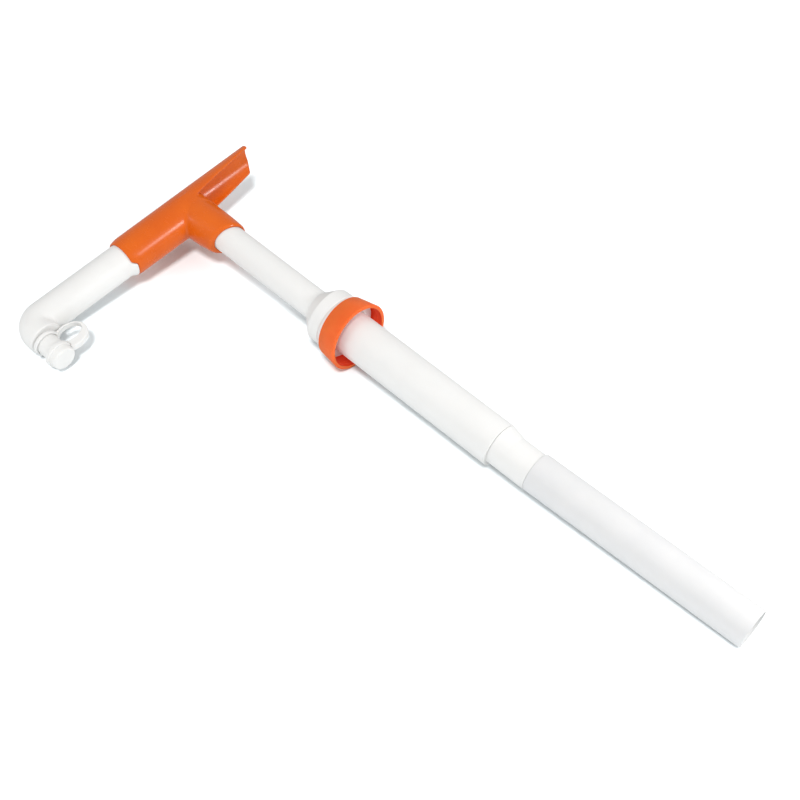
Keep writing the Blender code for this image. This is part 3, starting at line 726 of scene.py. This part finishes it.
# The collar, in its own leaning frame: the mouth is at 0 and the back below it
COLLAR_BACK = -24.5
COLLAR_WALL_X = COLLAR_BACK + 2.5
COLLAR_WALL_ROWS = 66
COLLAR_BORE = 34.9
COLLAR_HOLE = 33.3
THREAD_PITCH = 4.233
THREAD_DEPTH = 0.9
THREAD_HALF_WIDTH = 0.22
THREAD_START_X = COLLAR_BACK + 12.5
THREAD_END_X = -2.0
THREAD_FADE = 2.0
LIP_DEPTH = 0.8


def collar_frame():
    joint = JOINTS["collar_turn"]
    direction = Vector(joint["axis"])
    turn = Vector((1, 0, 0)).rotation_difference(direction).to_matrix().to_4x4()
    place = (Vector(joint["pos_m"]) - ORIGIN) / MM
    return Matrix.Translation(place) @ turn


def wall_relief(x, angles):
    """How far the thread's ridge and the lip at the back stand in from the bore."""
    phase = (x / THREAD_PITCH - angles / math.tau) % 1.0
    ridge = np.clip(1.0 - np.abs(phase - 0.5) / THREAD_HALF_WIDTH, 0.0, 1.0)
    start = np.clip((x - THREAD_START_X) / THREAD_FADE, 0, 1)
    end = np.clip((THREAD_END_X - x) / THREAD_FADE, 0, 1)
    lip = np.clip(1.0 - (x - COLLAR_WALL_X) / 2.0, 0.0, 1.0)
    return THREAD_DEPTH * ridge * start * end + LIP_DEPTH * lip


def build_collar():
    """The nut, with its thread as a ridge that winds along the bore."""
    wall_length = 22.0
    outside = rounded([
        (COLLAR_BACK, COLLAR_HOLE, 0.3), (COLLAR_BACK, 35.0, 0.6),
        (0.0, 38.8, 0.8), (0.0, COLLAR_BORE + 0.6, 0.0),
    ])
    wall = [(COLLAR_WALL_X + wall_length * i / COLLAR_WALL_ROWS, COLLAR_BORE)
            for i in range(COLLAR_WALL_ROWS + 1)]
    lip = [(COLLAR_WALL_X, COLLAR_HOLE + 0.1), (COLLAR_WALL_X - 0.3, COLLAR_HOLE)]
    profile = np.array(outside + wall[::-1] + lip)
    on_wall = np.zeros(len(profile), bool)
    on_wall[len(outside):len(outside) + len(wall)] = True
    x = np.repeat(profile[:, 0][None], FINE_STEPS, 0)
    radius = np.repeat(profile[:, 1][None], FINE_STEPS, 0)
    radius = radius - np.where(on_wall, wall_relief(x, turn_angles(FINE_STEPS)), 0.0)
    collar = turned_rows("collar_nut", x, radius, collar_frame())
    dress(collar, "orange_collar", "collar", "orange_collar", "collar")
    # The bore's wall rows take the second material, with its painted shade and painted glow.
    collar.data.materials.append(materials["collar_inside_shade_glow"])
    count = len(profile)
    for polygon in collar.data.polygons:
        row = polygon.index % count
        if on_wall[row] and on_wall[(row + 1) % count]:
            polygon.material_index = 1


def tube_frame():
    """Where the leaning suction tube's axis leaves the pump axis."""
    pivot_x = 460.9
    direction = Vector(JOINTS["suction_tube_pull"]["axis"])
    turn = Vector((1, 0, 0)).rotation_difference(direction).to_matrix().to_4x4()
    return Matrix.Translation((pivot_x, 0.0, 0.0)) @ turn


def slant_end(item, start_x, end_x):
    """Turn the neck's end face by degrees, to meet the leaning tube squarely."""
    direction = Vector(JOINTS["suction_tube_pull"]["axis"])
    slope = direction.y / direction.x
    for vertex in item.data.vertices:
        local = (vertex.co - ORIGIN) / MM
        t = min(max((local.x - start_x) / (end_x - start_x), 0.0), 1.0)
        vertex.co.x -= slope * local.y * t * MM


def build_neck():
    """The foot valve's body: an insert in the barrel with a seal groove, and the neck."""
    insert_x = 430.0
    insert_r = 21.8
    chamber_x = 438.0
    groove_x = 438.5
    groove_end_x = 442.5
    groove_r = 18.9
    seat_x = 452.0
    seat_r = 7.0
    neck_r = 20.2
    neck_bore = 17.0
    end_x = 501.2
    neck = turned("foot_neck", rounded([
        (insert_x, 17.5, 0.0), (insert_x, insert_r, 1.0), (groove_x, insert_r, 0.3),
        (groove_x, groove_r, 0.0), (groove_end_x, groove_r, 0.0),
        (groove_end_x, insert_r, 0.3), (455.1, insert_r, 0.2), (455.1, neck_r, 0.2),
        (500.0, neck_r, 0.0), (end_x, neck_r, 0.15), (end_x, neck_bore, 0.0),
        (466.0, neck_bore, 0.0), (seat_x + 2.0, seat_r, 0.3), (seat_x, seat_r, 0.3),
        (seat_x, 11.0, 0.0), (chamber_x, 11.0, 0.3), (chamber_x, 17.5, 0.0),
    ]))
    slant_end(neck, 470.0, 500.0)
    dress(neck, "white_plastic", "barrel", "white_plastic", "foot_valve_body")


def build_foot():
    build_neck()
    spigot = turned("foot_spigot", rounded([
        (36.0, 15.2, 0.3), (36.0, 17.8, 0.3), (67.0, 17.8, 1.5), (67.0, 15.2, 0.5),
    ]), axis=tube_frame())
    dress(spigot, "white_plastic", "barrel", "white_plastic")
    shoulder = surface_net(
        "foot_shoulder", shoulder_field, (454, -25, -25), (476, 26, 26), 0.7)
    dress(shoulder, "white_plastic", "barrel", "white_plastic")


def build_suction_tube():
    start_x = 40.5
    end_x = 291.3
    tube_r = 20.9
    tube_bore = 19.3
    tube = turned("suction_pipe", rounded([
        (start_x, tube_bore, 0.3), (start_x, tube_r, 0.25),
        (end_x, tube_r, 0.4), (end_x, tube_bore, 0.4),
    ]), axis=tube_frame())
    dress(tube, "tube_plastic", "suction_tube", "tube_plastic", "suction_tube")


def finish_hidden_nodes():
    """The inner pieces keep their CAD shape and get their own finish."""
    for entry in frame["record"]["subparts"]:
        node = frame["nodes"][entry["node"]]
        if node.hide_render:
            continue
        node.data.materials.clear()
        node.data.materials.append(materials[entry["material_slot"]])


# ---------------------------------------------------------------- studio

# The camera's directions in the world, for lights that are set by the picture
TO_CAMERA = Vector((0.382, -0.407, 0.829))
PICTURE_RIGHT = Vector((0.7297, 0.6837, -0.0008))
PICTURE_UP = Vector((-0.5668, 0.6055, 0.5587))

SOFT_DISTANCE = 4.0
SOFT_SIZE = 2.2
SOFT_LIGHTS = (
    ("soft_right", 0.85, 0.10, 32.0),
    ("soft_left", -0.85, 0.35, 34.0),
)
BOX_DISTANCE = 1.3
BOX_LIGHTS = (
    ("right_box", (0.81, 0.39, 0.43), 0.19, 4.2),
    ("left_box", (-0.555, -0.68, 0.48), 0.14, 0.45),
)


def area_light(name, direction, distance, size, power, target, glossy=True):
    light = bpy.data.lights.new(name, "AREA")
    light.shape = "RECTANGLE"
    light.size = size
    light.size_y = size
    light.energy = power
    item = bpy.data.objects.new(name, light)
    bpy.context.scene.collection.objects.link(item)
    way = Vector(direction).normalized()
    item.location = target + way * distance
    item.rotation_euler = way.to_track_quat("Z", "Y").to_euler()
    item.visible_glossy = glossy


def sun_light(name, direction, strength):
    """A far, broad light that is as bright all over the floor."""
    light = bpy.data.lights.new(name, "SUN")
    light.energy = strength
    light.angle = math.radians(11.0)
    item = bpy.data.objects.new(name, light)
    bpy.context.scene.collection.objects.link(item)
    item.rotation_euler = Vector(direction).to_track_quat("Z", "Y").to_euler()
    item.visible_glossy = False
    return item


def build_world():
    world = bpy.data.worlds.new("studio")
    bpy.context.scene.world = world
    world.use_nodes = True
    background = world.node_tree.nodes["Background"]
    background.inputs["Color"].default_value = (1.0, 1.0, 1.0, 1.0)
    background.inputs["Strength"].default_value = 0.50


def floor_paper():
    paper = bpy.data.materials.new("paper")
    paper.use_nodes = True
    shader = paper.node_tree.nodes["Principled BSDF"]
    shader.inputs["Base Color"].default_value = (0.75, 0.785, 0.80, 1.0)
    shader.inputs["Roughness"].default_value = 0.9
    shader.inputs["Specular IOR Level"].default_value = 0.0
    return paper


def build_floor():
    """The plane under the collar, the suction tube's end and the spout's bend."""
    under_collar = Vector((263.0, 0.0, node_box("collar")[0].z))
    under_tube = Vector((752.0, 7.9, node_box("suction_tube")[0].z))
    under_spout = Vector((8.0, OUTLET_Y, node_box("spout_elbow")[0].z))
    up = (under_tube - under_collar).cross(under_collar - under_spout).normalized()
    if up.z < 0:
        up.negate()
    clearance = 0.0003
    middle = to_world(under_collar) - up * clearance
    side = up.cross(Vector((0, 1, 0))).normalized()
    ahead = up.cross(side).normalized()
    reach = 6.0
    corners = [middle + side * i * reach + ahead * j * reach
               for i, j in ((-1, -1), (1, -1), (1, 1), (-1, 1))]
    mesh = bpy.data.meshes.new("studio_floor")
    mesh.from_pydata([tuple(p) for p in corners], [], [(0, 1, 2, 3)])
    mesh.materials.append(floor_paper())
    floor = bpy.data.objects.new("studio_floor", mesh)
    bpy.context.scene.collection.objects.link(floor)
    floor.visible_glossy = False
    return floor


def build_lights(floor):
    """Two suns from the camera's side, one for the floor only, and four area lights."""
    key_way = TO_CAMERA - PICTURE_RIGHT * 0.03 + PICTURE_UP * 0.22
    sun_light("key", key_way, 1.0)
    wash = sun_light("floor_wash", key_way, 1.75)
    paper_only = bpy.data.collections.new("paper_only")
    paper_only.objects.link(floor)
    wash.light_linking.receiver_collection = paper_only
    middle_of_pump = 0.5 * (cad_box[0] + cad_box[1])
    for name, shift, lift, power in SOFT_LIGHTS:
        way = TO_CAMERA + PICTURE_RIGHT * shift + PICTURE_UP * lift
        area_light(name, way, SOFT_DISTANCE, SOFT_SIZE, power, middle_of_pump, False)
    tee_middle = to_world((10.0, 0.0, 0.0))
    for name, way, size, power in BOX_LIGHTS:
        area_light(name, way, BOX_DISTANCE, size, power, tee_middle)


def build_camera():
    """The camera looks down on the pump from its spout side."""
    camera = bpy.data.cameras.new("camera")
    camera.sensor_width = 36.0
    camera.lens = 59.93
    item = bpy.data.objects.new("camera", camera)
    bpy.context.scene.collection.objects.link(item)
    item.location = to_world((862.46, -577.47, 1119.35))
    item.rotation_euler = Euler([math.radians(a) for a in (33.964, 0.043, 43.135)])
    bpy.context.scene.camera = item


build_tee()
build_spout()
build_strap()
build_plug()
build_rod()
build_head()
build_barrel()
build_collar()
build_foot()
build_suction_tube()
finish_hidden_nodes()
build_world()
build_lights(build_floor())
build_camera()
bpy.context.scene.view_settings.view_transform = "Standard"
